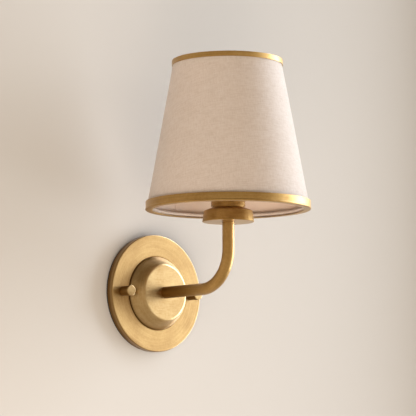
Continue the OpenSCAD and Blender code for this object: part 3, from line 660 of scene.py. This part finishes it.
# Linen with its seam lapped outwards, and the stiff liner with its own ends lapped inwards
wholeTurn = 2 * math.pi + shade["lap"] / shade["lowRadius"]
linenOutline = sheetOutline(shade["clothInside"], shade["cloth"], shade["cloth"] + shade["glue"], 0.0)
linenPiece = sweptRing("linen_cover", linenOutline, 0.0, wholeTurn, shade["steps"])
dress(linenPiece, "linen", "shade_linen")
linerOutline = sheetOutline(shade["linerInside"], shade["liner"], 0.0, shade["liner"] + shade["glue"])
linerPiece = sweptRing("stiff_liner", linerOutline, 0.0, wholeTurn, shade["steps"])
dress(linerPiece, "liner", "shade_liner")

# Brass hoops over both edges, each one strip that is butted at the back
bands = dict(
    metal=0.0007, lip=0.0062, glue=0.00005, bevel=0.00018,
    topHeight=0.0052, bottomHeight=0.0085,
    beadHeight=0.0022, beadOut=0.0004,
    joint=0.00025,          # gap between the strip's ends
    uneven=0.4,             # share of the cloth's unevenness
    unevenAt=0.31,          # height whose unevenness both hoops follow
    steps=288,
)


def arcPoints(cx, cz, r, start, end, steps):
    angles = [math.radians(start + (end - start) * i / steps) for i in range(steps + 1)]
    return [(cx + r * math.cos(a), cz + r * math.sin(a)) for a in angles]


def topHoop():
    inner = shadeRadius(shade["high"] - bands["topHeight"]) + bands["glue"]
    outer = inner + bands["metal"]
    low, high, bevel = shade["high"] - bands["topHeight"], shade["high"], bands["bevel"]
    edge = bands["metal"] / 2
    lipR = inner - bands["lip"]
    return (
        [(inner, low)]
        + arcPoints(outer - bevel, low + bevel, bevel, -90, 0, 3)
        + arcPoints(outer - edge, high - edge, edge, 0, 90, 6)
        + arcPoints(lipR + edge, high - edge, edge, 90, 270, 6)
        + [(inner, high - bands["metal"])]
    )


def bottomHoop():
    inner = shadeRadius(shade["clothLow"]) + bands["glue"]
    outer = inner + bands["metal"]
    low, high, bevel = shade["low"], shade["low"] + bands["bottomHeight"], bands["bevel"]
    bead = bands["beadHeight"] / 2
    beadEnd = math.degrees(math.acos(1 - bands["beadOut"] / bead))
    edge = bands["metal"] / 2
    lipR = inner - bands["lip"]
    return (
        [(inner, high), (inner, low + bands["metal"])]
        + arcPoints(lipR + edge, low + edge, edge, 90, 270, 6)
        + arcPoints(outer + bands["beadOut"] - bead, low + bead, bead, -90, beadEnd, 12)
        + arcPoints(outer - bevel, high - bevel, bevel, 0, 90, 3)
    )


def hoop(name, outline, node):
    def outlineAt(turn):
        return [(r + bands["uneven"] * unevenness(turn, bands["unevenAt"]), z) for r, z in outline]
    half = bands["joint"] / 2 / shade["lowRadius"]
    ring = sweptRing(name, outlineAt, half, 2 * math.pi - half, bands["steps"])
    return dress(ring, "band_brass", node)


hoop("top_hoop", topHoop(), "shade_top_band")
hoop("bottom_hoop", bottomHoop(), "shade_bottom_band")

# Linen rolled round the two wire rings, with its cut edge turned under
hems = dict(
    roll=0.0021, fold=0.00028,
    foldFrom=0.35, foldFull=0.75,           # cosine of the turn round the roll, from the cut edge
    lumps=0.00012, lumpsRound=40, lumpsUp=2,
    topFold=3.6, bottomFold=2.5,            # where the cut edge lies, in radians round the roll
    sides=22, steps=300,
)


def rolledHem(name, node, foldAt):
    low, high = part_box(node)
    middle = (low.z + high.z) / 2
    ring = high.x - (high.z - low.z) / 2

    def outlineAt(turn):
        points = []
        around = ring * hems["lumpsRound"]
        for i in range(hems["sides"]):
            angle = 2 * math.pi * i / hems["sides"]
            up = hems["lumpsUp"] * math.cos(angle) + foldAt
            lump = hems["lumps"] * noise.noise((around * math.sin(turn), around * math.cos(turn), up))
            fold = hems["fold"] * smoothStep(math.cos(angle - foldAt), hems["foldFrom"], hems["foldFull"])
            reach = hems["roll"] - hems["fold"] / 2 + fold + lump
            points.append((ring + reach * math.cos(angle), middle + reach * math.sin(angle)))
        return points
    return dress(sweptRing(name, outlineAt, 0.0, 2 * math.pi, hems["steps"]), "hem_linen", node)


topHem = rolledHem("top_hem_roll", "top_hem", hems["topFold"])
bottomHem = rolledHem("bottom_hem_roll", "bottom_hem", hems["bottomFold"])

# The flat cut of a cone is a sector: its box and its area
longSlant = shade["lowRadius"] / shade["sine"]
shortSlant = shade["highRadius"] / shade["sine"]
sector = 2 * math.pi * shade["sine"] + shade["lap"] / longSlant
flatCut = (2 * longSlant * math.sin(sector / 2), longSlant - shortSlant * math.cos(sector / 2))
flatArea = sector / 2 * (longSlant ** 2 - shortSlant ** 2)
print("shade pieces made")

# A plain wall and floor, seen only from the room side. The rings are radii.
stage = dict(
    wallColour=(0.585, 0.552, 0.515), floorColour=(0.84, 0.74, 0.62),
    mottle=0.015,           # share by which the paint is paler or darker
    wallGap=0.0004, wallRings=(0.054, 0.1, 0.5, 4.0),
    floorHeight=-1.35, floorMiddle=-1.0, floorRings=(0.01, 0.5, 4.0),
    sides=96,
)


def plainPaint(name, colour, pores):
    paint = Paint(name)
    place = paint.place()
    cloud = paint.speckle(place, 3, 3.0, 0.5)
    skin = paint.speckle(place, pores)
    darker = tuple(c * (1 - stage["mottle"]) for c in colour)
    paler = tuple(c * (1 + stage["mottle"]) for c in colour)
    wash = paint.node("BsdfPrincipled", None, {
        "Base Color": paint.blend(cloud, darker, paler),
        "Roughness": 0.9,
        "Specular IOR Level": 0.2,
        "Normal": paint.bump(skin, 0.0002, 0.25),
    })
    clear = paint.node("BsdfTransparent")
    facing = paint.node("NewGeometry", out="Backfacing")
    seen = paint.node("MixShader", None, {0: facing, 1: wash, 2: clear})
    paint.node("OutputMaterial", None, {"Surface": seen})
    return paint.material


def stageDisc(name, radii, spot, material):
    mesh = bmesh.new()
    turns = [math.tau * i / stage["sides"] for i in range(stage["sides"])]
    rows = [[mesh.verts.new(spot(r * math.cos(a), r * math.sin(a))) for a in turns] for r in radii]
    for here, there in zip(rows, rows[1:]):
        for i in range(len(here)):
            j = (i + 1) % len(here)
            mesh.faces.new((here[i], there[i], there[j], here[j]))
    piece = linked(name, mesh)
    piece.data.materials.append(material)


stageDisc(
    "wall", stage["wallRings"], lambda u, v: (u, stage["wallGap"], v),
    plainPaint("wall_paint", stage["wallColour"], 260))
stageDisc(
    "floor", stage["floorRings"], lambda u, v: (v, u + stage["floorMiddle"], stage["floorHeight"]),
    plainPaint("floor_paint", stage["floorColour"], 120))

# Big soft lamps: the key grazes the wall from the right, the fill stands in front and right, and a
# near board lifts the left side. Azimuth and height are degrees, seen from the middle of the light.
lamps = dict(
    key=dict(
        azimuth=72, height=12, away=2.0, size=(0.95, 3.0), power=93, colour=(0.87, 0.965, 1.07),
        mirrored=True),
    fill=dict(
        azimuth=42, height=1, away=2.5, size=(1.8, 2.4), power=5.6, colour=(0.92, 0.98, 1.08),
        mirrored=True),
    board=dict(
        azimuth=-56, height=-52, away=1.3, size=(1.4, 1.4), power=20.5, colour=(1.0, 0.89, 0.78),
        mirrored=False),
)
aim = Vector((0.0, -0.07, 0.08))


def outOf(azimuth, height, away):
    a, e = math.radians(azimuth), math.radians(height)
    return Vector((math.sin(a) * math.cos(e), -math.cos(a) * math.cos(e), math.sin(e))) * away


for name, lamp in lamps.items():
    shine = bpy.data.lights.new(name, "AREA")
    shine.shape = "RECTANGLE"
    shine.size, shine.size_y = lamp["size"]
    shine.energy = lamp["power"]
    shine.color = lamp["colour"]
    holder = bpy.data.objects.new(name, shine)
    holder.location = aim + outOf(lamp["azimuth"], lamp["height"], lamp["away"])
    holder.rotation_euler = (holder.location - aim).to_track_quat("Z", "Y").to_euler()
    holder.visible_camera = False
    holder.visible_glossy = lamp["mirrored"]
    bpy.context.scene.collection.objects.link(holder)

# The room round the lamps, from straight down (0) to overhead (1): palest at eye level
roomTones = (
    (0.0, (0.58, 0.495, 0.40)), (0.48, (0.81, 0.70, 0.568)), (0.58, (0.81, 0.70, 0.568)),
    (0.67, (0.46, 0.385, 0.30)), (0.76, (0.25, 0.205, 0.145)), (1.0, (0.13, 0.10, 0.06)),
)
world = bpy.data.worlds.new("room")
world.use_nodes = True
room = Paint("room", world.node_tree)
height = room.node("SeparateXYZ", None, {0: room.node("TexCoord", out="Generated")}).out("Z")
walls = room.node("ValToRGB", {"stops": roomTones}, {"Fac": height * 0.5 + 0.5}, "Color")
backdrop = room.node("Background", None, {"Color": walls, "Strength": 1.0})
room.node("OutputWorld", None, {"Surface": backdrop})
bpy.context.scene.world = world

# A studio flag beside the wall, out of the picture, keeps part of the key off the wall's right side
flag = dict(x=0.64, nearY=-0.17, farY=-0.004, low=-0.9, high=1.1, colour=(0.03, 0.03, 0.03))
flagPaint = Paint("flag_cloth")
flagCloth = flagPaint.node("BsdfDiffuse", None, {"Color": flag["colour"]}, "BSDF")
flagPaint.node("OutputMaterial", None, {"Surface": flagCloth})
flagMesh = bpy.data.meshes.new("wall_flag")
flagCorners = [
    (flag["x"], flag["nearY"], flag["low"]), (flag["x"], flag["farY"], flag["low"]),
    (flag["x"], flag["farY"], flag["high"]), (flag["x"], flag["nearY"], flag["high"])]
flagMesh.from_pydata(flagCorners, [], [(0, 1, 2, 3)])
flagMesh.materials.append(flagPaint.material)
flagPiece = bpy.data.objects.new("wall_flag", flagMesh)
bpy.context.scene.collection.objects.link(flagPiece)
flagPiece.visible_camera = False
flagPiece.visible_glossy = False

# Camera solved from the photograph's edges
view = dict(
    place=(-1.4854814, -1.6947171, -0.1735406),
    right=(0.734732, -0.678342, -0.004605),
    up=(-0.075063, -0.088045, 0.993284),
    back=(-0.674192, -0.729452, -0.115608),
    focus=2195.2197, across=416,    # in pixels
    sensor=36,                      # millimetres
    nearest=0.05, farthest=50,
)
lens = bpy.data.cameras.new("camera")
lens.sensor_fit = "HORIZONTAL"
lens.sensor_width = view["sensor"]
lens.lens = view["focus"] * view["sensor"] / view["across"]
lens.clip_start = view["nearest"]
lens.clip_end = view["farthest"]
camera = bpy.data.objects.new("camera", lens)
turned = Matrix((view["right"], view["up"], view["back"])).transposed().to_4x4()
camera.matrix_world = Matrix.Translation(view["place"]) @ turned
bpy.context.scene.collection.objects.link(camera)
bpy.context.scene.camera = camera
bpy.context.scene.view_settings.view_transform = "Standard"
print("stage, lamps and camera set")

bpy.context.view_layer.update()
